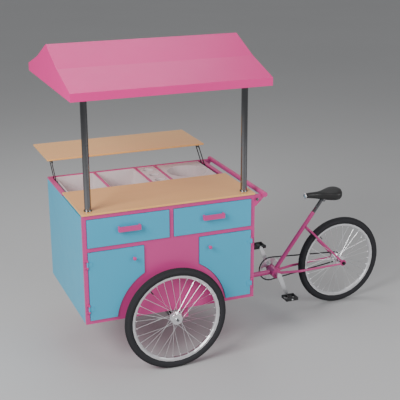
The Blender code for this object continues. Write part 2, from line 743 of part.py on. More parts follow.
def door_outline(gap):
    """Rear-hand door in X and Z: a rectangle whose lower inner corner follows the wheel arch."""
    outer = HALF_LENGTH - STILE - gap
    inner = DOOR_INNER_X + gap
    low = DOOR_BOTTOM + gap
    radius = ARCH_R + gap
    start = math.asin((low - FRONT_TYRE_R) / radius)
    end = math.acos(inner / radius)
    return [(outer, low), (outer, DOOR_TOP - gap), (inner, DOOR_TOP - gap)] + arc(
        (0, FRONT_TYRE_R), radius, end, start, 10)


def mirrored(outline):
    return [(-a, b) for a, b in reversed(outline)]


def front_frame():
    """The pink front: stiles, rails and the arch panel left between its four openings."""
    face = -HALF_WIDTH
    made = block("front_frame", (-HALF_LENGTH, face, BODY_BOTTOM),
                 (HALF_LENGTH, face + PANEL, BODY_TOP - SEAT_GAP), "pink_paint")
    cutters = [plate("opening", shape, "Y", face - 0.02, face + 0.05, "pink_paint")
               for shape in (door_outline(0), mirrored(door_outline(0)))]
    for side in (-1, 1):
        edges = sorted((side * STILE / 2, side * (HALF_LENGTH - STILE)))
        cutters.append(block("opening", (edges[0], face - 0.02, DRAWER_BOTTOM),
                             (edges[1], face + 0.05, DRAWER_TOP), "pink_paint"))
    cut(made, *cutters)
    join(made, *[piece for side in (-1, 1) for z in HINGE_Z for piece in frame_knuckles(side, z)])


def hinge_axis(side):
    """X and Y of a door's hinge pins, just outside its outer edge."""
    return side * (HALF_LENGTH - STILE + HINGE_OUT), -HALF_WIDTH - FRONT_PROUD - 0.0025


def frame_knuckles(side, z):
    """The stile's half of one door hinge: two knuckles, their leaf and the pin."""
    x, y = hinge_axis(side)
    half = HINGE_BARREL / 2
    made = [rod("pin", [(x, y, z - half - 0.006), (x, y, z + half + 0.006)], HINGE_PIN_R, "pink_paint", sides=10)]
    for way in (-1, 1):
        ends = sorted((z + way * (half + 0.0005), z + way * (half + 0.0125)))
        made.append(rod("knuckle", [(x, y, ends[0]), (x, y, ends[1])], HINGE_R, "pink_paint", sides=12))
        reach = sorted((x, side * (HALF_LENGTH - 0.002)))
        made.append(block("leaf", (reach[0], y + 0.002, ends[0] + 0.001),
                          (reach[1], -HALF_WIDTH + 0.0005, ends[1] - 0.001), "pink_paint"))
    return made


def carcass():
    """End walls, back, floor, the wall between cupboard and cold bay, and the drawer deck."""
    front_in = -HALF_WIDTH + PANEL + SEAT_GAP
    back_in = HALF_WIDTH - PANEL - SEAT_GAP
    end_top = BODY_TOP - RIM_HEIGHT - SEAT_GAP
    for name, side in (("front", -1), ("rear", 1)):
        edges = sorted((side * HALF_LENGTH, side * (HALF_LENGTH - PANEL)))
        wall = block(f"end_wall_{name}", (edges[0], front_in, BODY_BOTTOM), (edges[1], HALF_WIDTH, end_top),
                     "blue_paint")
        spots = [(arm_foot(k), ARM_FOOT_Z) for k in (0, 1)]
        inner = HALF_LENGTH - PANEL
        pins = [rod("pin", [(side * (inner + 0.004), y, z), (side * (ARM_X - 0.0015), y, z)], ARM_PIN_R,
                    "blue_paint", sides=10) for y, z in spots]
        bosses = [rod("boss", [(side * (inner + 0.004), y, z),
                               (side * (ARM_X + ARM_THICK + 0.0005), y, z)], 0.006,
                      "blue_paint", sides=10) for y, z in spots]
        join(wall, *pins, *bosses)
    inner = HALF_LENGTH - PANEL - SEAT_GAP
    block("back_panel", (-inner, HALF_WIDTH - PANEL, BODY_BOTTOM), (inner, HALF_WIDTH, end_top), "blue_paint")
    block("floor_panel", (-inner, front_in, BODY_BOTTOM), (inner, back_in, BODY_BOTTOM + PANEL), "pink_paint")
    wall_y = BAY_FRONT_Y - INNER_WALL
    made = block("inner_wall", (-inner, wall_y, BODY_BOTTOM + PANEL + SEAT_GAP),
                 (inner, BAY_FRONT_Y, BODY_TOP - SEAT_GAP), "blue_paint")
    deck = block("deck", (-inner, front_in, DECK_TOP - INNER_WALL), (inner, wall_y + 0.002, DECK_TOP), "blue_paint")
    divider = block("divider", (-INNER_WALL / 2, front_in, DECK_TOP - 0.002),
                    (INNER_WALL / 2, wall_y + 0.002, BODY_TOP - SEAT_GAP), "blue_paint")
    join(made, deck, divider)


def arm_length():
    """Arm length that carries the lid back and up from closed to its open lean."""
    run, rise = LID_BACK, LID_UP
    lean = ARM_OPEN_ANGLE
    return (run * run + rise * rise) / (2 * (run * math.sin(lean) + rise * math.cos(lean)))


ARM_LENGTH = arm_length()
LID_LOW_OPEN = BODY_TOP + SEAT_GAP + LID_UP
ARM_TIP_Z = LID_LOW_OPEN - ARM_PIVOT_DROP
ARM_FOOT_Z = ARM_TIP_Z - ARM_LENGTH * math.cos(ARM_OPEN_ANGLE)
LID_NEAR_OPEN = COUNTER_REAR_Y + LID_GAP + LID_BACK


def arm_tip(index):
    """Y of an arm's upper pin with the lid open: 0 is the front arm, 1 the rear one."""
    return LID_NEAR_OPEN + ARM_INSET + index * ARM_SPACING


def arm_foot(index):
    return arm_tip(index) - ARM_LENGTH * math.sin(ARM_OPEN_ANGLE)


def lid():
    """The raised board and, near each end, a plate with the two upper pins."""
    block("lid_board", (-HALF_LENGTH, LID_NEAR_OPEN, LID_LOW_OPEN),
          (HALF_LENGTH, LID_NEAR_OPEN + LID_DEPTH, LID_LOW_OPEN + COUNTER_THICK), "wood", 0.0015)
    for name, side in (("front", -1), ("rear", 1)):
        outer = side * (ARM_X - 0.0005)
        inner = outer - side * LID_PLATE
        edges = sorted((outer, inner))
        made = block(f"lid_bracket_{name}", (edges[0], arm_tip(0) - 0.008, ARM_TIP_Z - 0.006),
                     (edges[1], arm_tip(1) + 0.030, LID_LOW_OPEN - SEAT_GAP), "steel")
        pins = [rod("pin", [(side * (ARM_X - 0.002), arm_tip(k), ARM_TIP_Z),
                            (side * (ARM_X + ARM_THICK + 0.001), arm_tip(k), ARM_TIP_Z)], ARM_PIN_R,
                    "steel", sides=10) for k in (0, 1)]
        join(made, *pins)


def lid_arms():
    for index, place in enumerate(("near", "far")):
        for name, side in (("front", -1), ("rear", 1)):
            foot = (arm_foot(index), ARM_FOOT_Z)
            tip = (arm_tip(index), ARM_TIP_Z)
            lean = math.atan2(tip[1] - foot[1], tip[0] - foot[0])
            half = ARM_WIDTH / 2
            outline = arc(foot, half, lean + math.pi / 2, lean + math.pi * 1.5, 6)
            outline += arc(tip, half, lean - math.pi / 2, lean + math.pi / 2, 6)
            edges = sorted((side * ARM_X, side * (ARM_X + ARM_THICK)))
            made = plate(f"lid_arm_{place}_{name}", outline, "X", edges[0], edges[1], "steel")
            bores = [rod("bore", [(edges[0] - 0.01, y, z), (edges[1] + 0.01, y, z)],
                         ARM_PIN_R + PIN_PLAY, "steel", sides=10) for y, z in (foot, tip)]
            cut(made, *bores)


def top_rim():
    """Pink rim round the cold bay with the bars between its tubs."""
    low, high = BODY_TOP - RIM_HEIGHT, BODY_TOP
    front, back = BAY_FRONT_Y + SEAT_GAP, HALF_WIDTH
    made = block("top_rim", (-HALF_LENGTH, front, low), (HALF_LENGTH, back, high), "pink_paint")
    inner = HALF_LENGTH - RIM_END_WIDTH
    bars = [-inner] + [x for d in DIVIDER_X for x in (d - DIVIDER / 2, d + DIVIDER / 2)] + [inner]
    holes = [block("hole", (a, front - 0.02, low - 0.02), (b, BAY_BACK_Y, high + 0.02), "pink_paint")
             for a, b in zip(bars[0::2], bars[1::2])]
    cut(made, *holes)


def bay_spans():
    """Low and high X of each tub between the bars."""
    edges = [-TUB_END_X] + [x for d in DIVIDER_X for x in (d - DIVIDER / 2, d + DIVIDER / 2)] + [TUB_END_X]
    return list(zip(edges[0::2], edges[1::2]))


def tubs():
    """Two square tubs, a tray with three cups and a round bowl."""
    front, back = BAY_FRONT_Y + SEAT_GAP, BAY_BACK_Y - SEAT_GAP
    top = BODY_TOP - TUB_SINK
    middle = (front + back) / 2
    spans = bay_spans()
    for name, (low, high) in zip(("tub_front", "tub_middle"), spans[:2]):
        low, high = low + SEAT_GAP, high - SEAT_GAP
        made = block(name, (low, front, top - TUB_DEPTH), (high, back, top), "tub_white")
        hollow = block("hollow", (low + TUB_WALL, front + TUB_WALL, top - TUB_DEPTH + TUB_WALL),
                       (high - TUB_WALL, back - TUB_WALL, top + 0.05), "tub_white")
        cut(made, hollow)
    low, high = spans[2]
    centre = (low + high) / 2
    cups = [(centre, middle + k * CUP_SPACING) for k in (-1, 0, 1)]
    well_plate("cup_tray", spans[2], (front, back), top, cups, CUP_R, CUP_DEPTH)
    well_plate("bowl_tub", spans[3], (front, back), top, [(BOWL_CENTRE_X, middle)], BOWL_R, BOWL_DEPTH)


def well_plate(name, span, depth, top, centres, radius, deep):
    """A flat plate with round wells hanging under it."""
    low, high = span[0] + SEAT_GAP, span[1] - SEAT_GAP
    made = block(name, (low, depth[0], top - TUB_WALL), (high, depth[1], top), "tub_white")
    steps = 20 if radius < 0.06 else 36
    outer = [turned("well", [(0, -deep), (radius * 0.86 + TUB_WALL, -deep), (radius + TUB_WALL, -TUB_WALL / 2),
                             (0, -TUB_WALL / 2)], (x, y, top), "tub_white", "Z", steps, False)
             for x, y in centres]
    inner = [turned("void", [(0, -deep + TUB_WALL), (radius * 0.86, -deep + TUB_WALL), (radius, 0.001),
                             (radius, 0.02), (0, 0.02)], (x, y, top), "tub_white", "Z", steps, False)
             for x, y in centres]
    join(made, *outer)
    cut(made, *inner)


def counter():
    block("counter", (-HALF_LENGTH, -HALF_WIDTH - FRONT_PROUD, BODY_TOP + SEAT_GAP),
          (HALF_LENGTH, COUNTER_REAR_Y, BODY_TOP + SEAT_GAP + COUNTER_THICK), "wood", 0.0015)


def drawers():
    """Each drawer: a proud front and an open tray behind it, with its pull."""
    for name, side in (("front", -1), ("rear", 1)):
        edges = sorted((side * (STILE / 2 + PANEL_GAP), side * (HALF_LENGTH - STILE - PANEL_GAP)))
        face = -HALF_WIDTH - FRONT_PROUD
        low, high = DRAWER_BOTTOM + PANEL_GAP, DRAWER_TOP - PANEL_GAP
        tray_low = DECK_TOP + SEAT_GAP
        made = block(f"drawer_{name}", (edges[0], face, low), (edges[1], face + PANEL, high), "blue_paint", 0.0012)
        tray = block("tray", (edges[0] + 0.006, face + PANEL - 0.002, tray_low),
                     (edges[1] - 0.006, face + DRAWER_DEPTH, high - 0.035), "blue_paint")
        hollow = block("hollow", (edges[0] + 0.006 + DRAWER_WALL, face + PANEL, tray_low + DRAWER_WALL),
                       (edges[1] - 0.006 - DRAWER_WALL, face + DRAWER_DEPTH - DRAWER_WALL, high + 0.05),
                       "blue_paint")
        cut(tray, hollow)
        join(made, tray)
        pull(f"drawer_pull_{name}", (edges[0] + edges[1]) / 2, (low + high) / 2 + 0.012, face)


def pull(name, x, z, face):
    """A bow pull: a bar on two feet."""
    half, height, out, thick = 0.068, 0.030, 0.026, 0.010
    front = face - SEAT_GAP
    outline = [(x - half, front), (x - half, front - out), (x + half, front - out), (x + half, front),
               (x + half - thick, front), (x + half - thick, front - out + thick),
               (x - half + thick, front - out + thick), (x - half + thick, front)]
    plate(name, outline, "Z", z - height / 2, z + height / 2, "pink_paint")


def doors():
    """Two cupboard doors cut round the wheel arch, with their knobs."""
    face = -HALF_WIDTH - FRONT_PROUD
    outline = door_outline(PANEL_GAP)
    for name, shape, side in (("front", mirrored(outline), -1), ("rear", outline, 1)):
        made = plate(f"door_{name}", shape, "Y", face, face + PANEL, "blue_paint")
        x, y = hinge_axis(side)
        reach = sorted((x, x - side * 0.030))
        half = HINGE_BARREL / 2
        for z in HINGE_Z:
            barrel = rod("barrel", [(x, y, z - half), (x, y, z + half)], HINGE_R, "blue_paint", sides=12)
            leaf = block("leaf", (reach[0], y, z - half + 0.001),
                         (reach[1], face + 0.0005, z + half - 0.001), "blue_paint")
            join(made, barrel, leaf)
            bore = rod("bore", [(x, y, z - half - 0.01), (x, y, z + half + 0.01)],
                       HINGE_PIN_R + 2 * PIN_PLAY, "blue_paint", sides=10)
            cut(made, bore)
        spot = (side * (DOOR_INNER_X + 0.068), face - SEAT_GAP, 0.748)
        turned(f"door_knob_{name}", [(0, 0), (0.006, 0), (0.0055, -0.010), (0.010, -0.015), (0.0115, -0.020),
                                     (0.009, -0.025), (0, -0.027)], spot, "pink_paint", steps=14, ring=False)


# Canopy and push bar


def roof_outline(inset):
    """Half-bell roof section in Y and Z, drawn inwards by an inset for the inside."""
    half, low = ROOF_HALF - inset, FASCIA_Z - (0.05 if inset else 0)
    slope = inset * 1.12
    right = [(half, low), (half, EAVE_Z - slope), (KINK_Y, KINK_Z - slope), (0, RIDGE_Z - slope)]
    return right + [(-y, z) for y, z in reversed(right[:-1])]


def canopy():
    """Shell roof with closed gables on a light frame carried by two posts."""
    half = ROOF_LENGTH / 2
    made = plate("canopy_roof", roof_outline(0), "X", -half, half, "roof_pink")
    hollow = plate("hollow", roof_outline(ROOF_SKIN), "X", -half + ROOF_SKIN, half - ROOF_SKIN, "roof_pink")
    cut(made, hollow)
    gap = ROOF_SKIN + SEAT_GAP
    low = FASCIA_Z + 0.006
    high = low + ROOF_RAIL
    x_out, y_out = half - gap, ROOF_HALF - gap
    frame = block("canopy_frame", (-x_out, -y_out, low), (x_out, y_out, high), "chrome")
    bars = [-x_out, -POST_X - ROOF_RAIL / 2, -POST_X + ROOF_RAIL / 2, POST_X - ROOF_RAIL / 2,
            POST_X + ROOF_RAIL / 2, x_out]
    holes = [block("hole", (a + (ROOF_RAIL if k == 0 else 0), -y_out + ROOF_RAIL, low - 0.02),
                   (b - (ROOF_RAIL if k == 2 else 0), y_out - ROOF_RAIL, high + 0.02), "chrome")
             for k, (a, b) in enumerate(zip(bars[0::2], bars[1::2]))]
    cut(frame, *holes)
    foot = BODY_TOP + 2 * SEAT_GAP + COUNTER_THICK
    for name, side in (("front", -1), ("rear", 1)):
        rod(f"canopy_post_{name}", [(side * POST_X, -POST_Y, foot), (side * POST_X, -POST_Y, low - SEAT_GAP)],
            POST_R, "chrome", sides=24)


def push_bar():
    """Steering bar behind the cabinet on two gusset plates."""
    x = HALF_LENGTH + BAR_OUT
    reach = HALF_WIDTH + BAR_OVERHANG
    made = rod("push_bar", [(x, -reach, BAR_Z), (x, reach, BAR_Z)], BAR_R, "pink_paint", sides=16)
    start = HALF_LENGTH + SEAT_GAP
    outline = [(start, BAR_Z + 0.003), (start, BAR_Z - BRACKET_DROP), (start + 0.008, BAR_Z - BRACKET_DROP),
               (x + BAR_R * 0.5, BAR_Z - BAR_R * 0.8), (x, BAR_Z + 0.003)]
    plates = []
    for side in (-1, 1):
        edges = sorted((side * HALF_WIDTH, side * (HALF_WIDTH - BRACKET_THICK)))
        plates.append(plate("gusset", outline, "Y", edges[0], edges[1], "pink_paint"))
    join(made, *plates)
    holes = [rod("hole", [(start + 0.012, side * HALF_WIDTH - 0.03, BAR_Z - 0.026),
                          (start + 0.012, side * HALF_WIDTH + 0.03, BAR_Z - 0.026)], 0.004,
                 "pink_paint", sides=12) for side in (-1, 1)]
    cut(made, *holes)


def main():
    clear_scene()
    vehicle = bpy.data.objects.new("vehicle", None)
    bpy.context.scene.collection.objects.link(vehicle)
    mid_y = (LID_NEAR_OPEN + LID_DEPTH - ROOF_HALF) / 2
    vehicle.location = (-MID_X, -mid_y, 0)
    front_frame()
    carcass()
    top_rim()
    tubs()
    counter()
    drawers()
    doors()
    lid()
    lid_arms()
    canopy()
    push_bar()
    axle()
    underframe()
    wheels()
    rear_frame()
    saddle()
    crankset()
    chain()
    pedal("pedal_left", -1)
    pedal("pedal_right", 1)


main()
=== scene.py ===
"""Dresses the ice cream tricycle: finishes, treaded tyres, chain links, saddle and fittings.

Lengths are in metres, light powers in watts and angles in radians, unless a line says otherwise.
"""
import json
import math

import bpy
from mathutils import Euler, Matrix, Vector


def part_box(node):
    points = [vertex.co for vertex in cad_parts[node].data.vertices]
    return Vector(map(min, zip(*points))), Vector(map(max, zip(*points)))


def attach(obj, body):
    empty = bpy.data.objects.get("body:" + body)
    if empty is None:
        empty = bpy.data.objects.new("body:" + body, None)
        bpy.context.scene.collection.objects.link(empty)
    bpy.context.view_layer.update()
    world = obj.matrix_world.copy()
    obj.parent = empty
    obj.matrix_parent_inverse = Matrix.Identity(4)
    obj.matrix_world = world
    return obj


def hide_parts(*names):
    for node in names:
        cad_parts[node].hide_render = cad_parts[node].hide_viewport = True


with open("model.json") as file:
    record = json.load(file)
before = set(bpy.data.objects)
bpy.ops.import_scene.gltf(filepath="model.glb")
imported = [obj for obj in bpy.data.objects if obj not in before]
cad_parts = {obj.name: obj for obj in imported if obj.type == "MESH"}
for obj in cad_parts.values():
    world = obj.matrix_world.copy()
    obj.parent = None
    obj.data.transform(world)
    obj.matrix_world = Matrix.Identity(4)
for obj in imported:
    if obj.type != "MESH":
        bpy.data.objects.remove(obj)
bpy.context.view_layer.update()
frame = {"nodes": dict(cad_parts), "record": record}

bl_info = {
    "name": "Ice cream tricycle",
    "version": (1, 0, 0),
    "blender": (4, 5, 0),
    "location": "View3D > Sidebar > Tricycle",
    "description": "Finishes and fittings of an ice cream tricycle",
    "category": "Object",
}

QUARTER = math.pi / 2
FACING = 0.9  # share of a face's normal along an axis from which the face looks that way

# Colours of the pieces that a user has no choice of
TUB_COLOUR = (0.70, 0.62, 0.62)
CHROME_COLOUR = (0.22, 0.22, 0.23)
STEEL_COLOUR = (0.075, 0.075, 0.08)
ALLOY_COLOUR = (0.88, 0.88, 0.90)
TYRE_COLOUR = (0.018, 0.018, 0.019)
PEDAL_COLOUR = (0.016, 0.016, 0.018)
SADDLE_COLOUR = (0.014, 0.014, 0.015)

# Tyres: node and the body that it turns with
TYRES = (
    ("front_tyre_left", "front_wheel_left"),
    ("front_tyre_right", "front_wheel_right"),
    ("rear_tyre", "rear_wheel"),
)
TYRE_STEPS = 144
SECTION_STEPS = 24
CROWN_SHARE = 0.42  # depth of the treaded crown, as a share of the section's half width
TREAD_MARGIN = 0.0011

# Nipples and valves
WHEELS = ("front_wheel_left", "front_wheel_right", "rear_wheel")
RIM_DEPTH = 0.0215  # from the wheel's outside in to the rim's inner face
SPOKES_A_SIDE = 16
SPOKE_SHIFT = 0.25  # each side's spokes lie this share of a gap from the middle
NIPPLE_RADIUS = 0.0026
NIPPLE_LENGTH = 0.010
NIPPLE_TIP_INSET = 0.0008
NIPPLE_TIP = 0.002
NIPPLE_REACH = 0.003  # from the rim's inner face to the nipple's middle
VALVE_RADIUS = 0.0042
VALVE_LENGTH = 0.030
VALVE_CAP_INSET = 0.0012
VALVE_CAP = 0.006
VALVE_REACH = 0.010
VALVE_TURN = 2 * math.pi * 5.5 / 16 + 0.08  # between two spokes

# Chain
CHAIN_PITCH = 0.0127
CHAINRING_RADIUS = 42 * CHAIN_PITCH / (2 * math.pi)  # 42 teeth
SPROCKET_RADIUS = 18 * CHAIN_PITCH / (2 * math.pi)  # 18 teeth
CHAINRING_STEPS = 80
SPROCKET_STEPS = 50
CHAIN_HALF_HEIGHT = 0.0045  # from the pitch line to the loop's outer edge
LINK_SIZE = (CHAIN_PITCH * 0.96, 0.0058, 0.0086)
LINK_BEVEL = 0.0009
LINK_WAIST = 0.0012

# Saddle
WELD_DISTANCE = 0.00005
ROUNDING_LEVELS = 2
CUSHION_SMOOTH = 60  # degrees
NOSE_CAP_SIZE = (0.018, 0.046, 0.044)
NOSE_CAP_BACK = 0.0095
NOSE_CAP_DROP = 0.034
CLAMP_RADIUS = 0.012
CLAMP_LENGTH = 0.052
CLAMP_BACK = 0.016
CLAMP_DROP = 0.020
CLAMP_STEP = 0.003

# Collars, nuts and bolts
COLLAR_HEIGHT = 0.005
COLLAR_LIFT = 0.0027
COLLAR_STEP_INSET = 0.002
COLLAR_STEP = 0.003
NUT_SHARE = 1.4  # size of an axle nut against a bolt head
NUT_HEIGHT = 0.010
NUT_SINK = 0.004
BOLT_HEIGHT = 0.006
BOLT_SINK = 0.003
BOLT_FROM_WALL = 0.012
BOLT_DROP = 0.042

# Stage: each light's name, place, target, width and power
LIGHTS = (
    ("key_light", (-4.6, -2.6, 3.9), (-0.3, 0, 0.9), 2.6, 330),
    ("fill_light", (2.6, -4.6, 2.6), (0.2, 0, 0.8), 3.0, 110),
    ("top_light", (0.0, 2.4, 4.6), (0, 0, 0.9), 3.0, 60),
)
FLOOR_SIZE = 60
FLOOR_DARK = (0.50, 0.50, 0.50, 1)
FLOOR_LIGHT = (0.54, 0.54, 0.54, 1)
SKY_COLOUR = (0.80, 0.81, 0.83, 1)
SKY_STRENGTH = 0.42

# Camera: turned by its yaw, pitch and roll, and placed from the front wheel and the axle
YAW = 0.3813
PITCH = -0.3196
ROLL = -0.0035
CAMERA_LEFT = 1.7701
CAMERA_BACK = 5.3072
CAMERA_HEIGHT = 2.7921
LENS = 82.61  # millimetres, as the sensor's width
SENSOR_WIDTH = 36

# Colour sockets of a Mix node, which share their names with its number sockets
MIX_FIRST = 6
MIX_SECOND = 7
MIX_RESULT = 2


# Shader maths


class Socket:
    """One output socket in a node tree, so that maths on it can be written as an expression."""

    def __init__(self, tree, output):
        self.tree = tree
        self.output = output

    def node(self, kind, settings=None, **inputs):
        """Adds any other node: its settings first, then the values or links of its sockets."""
        made = self.tree.nodes.new(kind)
        for key, value in (settings or {}).items():
            setattr(made, key, value)
        for key, value in inputs.items():
            put(self.tree, made.inputs[key.replace("_", " ")], value)
        return made

    def _math(self, operation, first, second):
        made = self.tree.nodes.new("ShaderNodeMath")
        made.operation = operation
        put(self.tree, made.inputs[0], first)
        put(self.tree, made.inputs[1], second)
        return Socket(self.tree, made.outputs[0])

    def __add__(self, other):
        return self._math("ADD", self, other)

    def __radd__(self, other):
        return self._math("ADD", other, self)

    def __mul__(self, other):
        return self._math("MULTIPLY", self, other)

    def __rmul__(self, other):
        return self._math("MULTIPLY", other, self)

    def power(self, exponent):
        return self._math("POWER", self, exponent)


def put(tree, socket, value):
    """Links a Socket to an input, or sets the input's value."""
    if isinstance(value, Socket):
        tree.links.new(value.output, socket)
    else:
        socket.default_value = value


class Finish:
    """A material under construction: its tree, shader and object coordinates."""

    def __init__(self, name, roughness, metallic=0.0, coat=0.0, coat_roughness=0.1):
        self.material = bpy.data.materials.new(name)
        self.material.use_nodes = True
        self.tree = self.material.node_tree
        self.shader = self.tree.nodes["Principled BSDF"]
        self.shader.inputs["Roughness"].default_value = roughness
        self.shader.inputs["Metallic"].default_value = metallic
        self.shader.inputs["Coat Weight"].default_value = coat
        self.shader.inputs["Coat Roughness"].default_value = coat_roughness
        place = self.tree.nodes.new("ShaderNodeTexCoord")
        self.place = Socket(self.tree, place.outputs["Object"])

    def noise(self, scale, detail=3.0, stretch=None):
        """Fractal noise on object coordinates, about 0.5 in the middle."""
        spot = self.place
        if stretch:
            mapped = self.place.node("ShaderNodeMapping", Vector=self.place, Scale=stretch)
            spot = Socket(self.tree, mapped.outputs["Vector"])
        made = self.place.node("ShaderNodeTexNoise", Vector=spot, Scale=scale, Detail=detail)
        return Socket(self.tree, made.outputs["Fac"])

    def mix(self, share, first, second):
        """Colour between two colours or sockets."""
        made = self.place.node("ShaderNodeMix", {"data_type": "RGBA"})
        put(self.tree, made.inputs[0], share)
        put(self.tree, made.inputs[MIX_FIRST], first)
        put(self.tree, made.inputs[MIX_SECOND], second)
        return Socket(self.tree, made.outputs[MIX_RESULT])

    def colour(self, value):
        put(self.tree, self.shader.inputs["Base Color"], value)

    def rough(self, value):
        put(self.tree, self.shader.inputs["Roughness"], value)

    def bump(self, height, distance, strength):
        made = self.place.node(
            "ShaderNodeBump", Height=height, Distance=distance, Strength=strength)
        self.tree.links.new(made.outputs["Normal"], self.shader.inputs["Normal"])


def shade(colour, factor):
    """A colour made darker or lighter, with its alpha."""
    return (colour[0] * factor, colour[1] * factor, colour[2] * factor, 1)


def paint(name, colour, gloss=0.34):
    """Sprayed gloss paint: faint orange peel, a drift in colour and smears in the gloss."""
    made = Finish(name, gloss, coat=0.12, coat_roughness=0.25)
    drift = made.noise(2.2)
    peel = made.noise(420.0, 2.0)
    smear = made.noise(14.0, 4.0)
    made.colour(made.mix(drift, shade(colour, 0.93), shade(colour, 1.06)))
    made.rough(gloss - 0.05 + smear * 0.12)
    made.bump(peel, 0.00012, 0.35)
    return made.material


def timber(name, light, dark):
    """Varnished boards with long grain along X and paler growth bands."""
    made = Finish(name, 0.3, coat=0.5, coat_roughness=0.12)
    grain = made.noise(26.0, 6.0, (0.7, 9.0, 9.0))
    band = made.noise(5.0, 3.0, (0.5, 4.0, 4.0))
    pores = made.noise(160.0, 3.0, (0.06, 1.0, 1.0))
    made.colour(made.mix(grain * 0.6 + band * 0.4, shade(dark, 1.0), shade(light, 1.0)))
    made.rough(0.24 + grain * 0.16)
    made.bump(pores, 0.00015, 0.25)
    return made.material


def moulded(name, colour, roughness=0.45):
    """Moulded plastic with a faint grained skin."""
    made = Finish(name, roughness)
    cloud = made.noise(6.0)
    skin = made.noise(700.0, 2.0)
    made.colour(made.mix(cloud, shade(colour, 0.94), shade(colour, 1.05)))
    made.rough(roughness - 0.06 + cloud * 0.12)
    made.bump(skin, 0.0001, 0.4)
    return made.material


def metal(name, colour, roughness):
    """Bare or plated metal with fine marks and a change of gloss."""
    made = Finish(name, roughness, metallic=1.0)
    marks = made.noise(300.0, 3.0)
    cloud = made.noise(9.0, 4.0)
    made.colour(made.mix(cloud, shade(colour, 0.92), shade(colour, 1.05)))
    made.rough(roughness * 0.7 + cloud * roughness * 0.6)
    made.bump(marks, 0.00005, 0.3)
    return made.material


def rubber(name, colour):
    """Tyre rubber with a few paler, dusty patches."""
    made = Finish(name, 0.7)
    dust = made.noise(30.0, 5.0)
    grain = made.noise(500.0, 2.0)
    made.colour(made.mix(dust.power(3.0), shade(colour, 0.9), shade(colour, 2.6)))
    made.rough(0.58 + dust * 0.25)
    made.bump(grain, 0.0002, 0.5)
    return made.material


def vinyl(name, colour):
    """Saddle vinyl: pebbled, with a soft sheen."""
    made = Finish(name, 0.32, coat=0.2, coat_roughness=0.3)
    cells = made.place.node("ShaderNodeTexVoronoi", Vector=made.place, Scale=520.0)
    pebble = Socket(made.tree, cells.outputs["Distance"])
    wear = made.noise(12.0, 4.0)
    made.colour(made.mix(wear, shade(colour, 0.8), shade(colour, 1.5)))
    made.rough(0.27 + wear * 0.16)
    made.bump(pebble, 0.00025, 0.45)
    return made.material


# Sizes and colours a user may change


class TricycleColours(bpy.types.PropertyGroup):
    body: bpy.props.FloatVectorProperty(
        name="Body", description="Doors, drawer fronts and side panels", subtype="COLOR",
        default=(0.055, 0.41, 0.62), min=0, max=1)
    trim: bpy.props.FloatVectorProperty(
        name="Trim", description="Face frame, rims, push bar and rear frame", subtype="COLOR",
        default=(0.60, 0.055, 0.25), min=0, max=1)
    roof: bpy.props.FloatVectorProperty(
        name="Roof", description="Canopy", subtype="COLOR",
        default=(0.80, 0.025, 0.26), min=0, max=1)
    wood_light: bpy.props.FloatVectorProperty(
        name="Wood, light", description="Counter and lid between the grain lines",
        subtype="COLOR", default=(0.98, 0.55, 0.19), min=0, max=1)
    wood_dark: bpy.props.FloatVectorProperty(
        name="Wood, dark", description="Counter and lid along the grain lines",
        subtype="COLOR", default=(0.86, 0.41, 0.12), min=0, max=1)


class TricycleSizes(bpy.types.PropertyGroup):
    tyre_width: bpy.props.FloatProperty(
        name="Tyre width", description="Width of each tyre's section",
        default=0.046, min=0.03, max=0.06, unit="LENGTH")
    groove_depth: bpy.props.FloatProperty(
        name="Groove depth", description="Depth of the tread's grooves",
        default=0.0014, min=0.0, max=0.003, unit="LENGTH")
    collar_radius: bpy.props.FloatProperty(
        name="Collar radius", description="Radius of the plates under the canopy posts",
        default=0.025, min=0.022, max=0.05, unit="LENGTH")
    bolt_radius: bpy.props.FloatProperty(
        name="Bolt radius", description="Half the width of the bolt heads",
        default=0.0065, min=0.003, max=0.01, unit="LENGTH")


# Modelling helpers


def only(item=None):
    """Deselects everything, then selects and activates one object if it is given."""
    bpy.ops.object.select_all(action="DESELECT")
    if item:
        item.select_set(True)
        bpy.context.view_layer.objects.active = item


def edit(item):
    only(item)
    bpy.ops.object.mode_set(mode="EDIT")


def done():
    bpy.ops.object.mode_set(mode="OBJECT")


def settle(item):
    """Puts the object's place and turn into its mesh."""
    only(item)
    bpy.ops.object.transform_apply(location=True, rotation=True, scale=True)


def choose_faces(item, test):
    """Selects, in edit mode, the faces that a test on their centre and normal picks."""
    bpy.ops.mesh.select_all(action="DESELECT")
    done()
    for face in item.data.polygons:
        face.select = bool(test(face.center, face.normal))
    bpy.ops.object.mode_set(mode="EDIT")
    bpy.ops.mesh.select_mode(type="FACE")


def inset_faces(item, test, thickness, depth, use_individual=False):
    """Insets the faces that a test picks, and leaves the piece in edit mode."""
    edit(item)
    choose_faces(item, test)
    bpy.ops.mesh.inset(thickness=thickness, depth=depth, use_individual=use_individual)


def facing_up(centre, normal):
    return normal.z > FACING


def cylinder(vertices, radius, height, location=(0, 0, 0), rotation=(0, 0, 0)):
    """A cylinder about its place, along local Z."""
    only()
    bpy.ops.mesh.primitive_cylinder_add(
        vertices=vertices, radius=radius, depth=height, location=location, rotation=rotation)
    return bpy.context.object


def finish(item, name, material, body, smooth=35.0):
    """Names a piece, gives it its material and body, and shades it up to an angle in degrees."""
    item.name = name
    item.data.name = name
    item.data.materials.clear()
    item.data.materials.append(bpy.data.materials[material])
    settle(item)
    bpy.ops.object.shade_smooth_by_angle(angle=math.radians(smooth))
    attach(item, body)
    return item


def join_all(items):
    """Joins several pieces into the first of them."""
    only(items[0])
    for item in items[1:]:
        item.select_set(True)
    bpy.ops.object.join()
    return items[0]


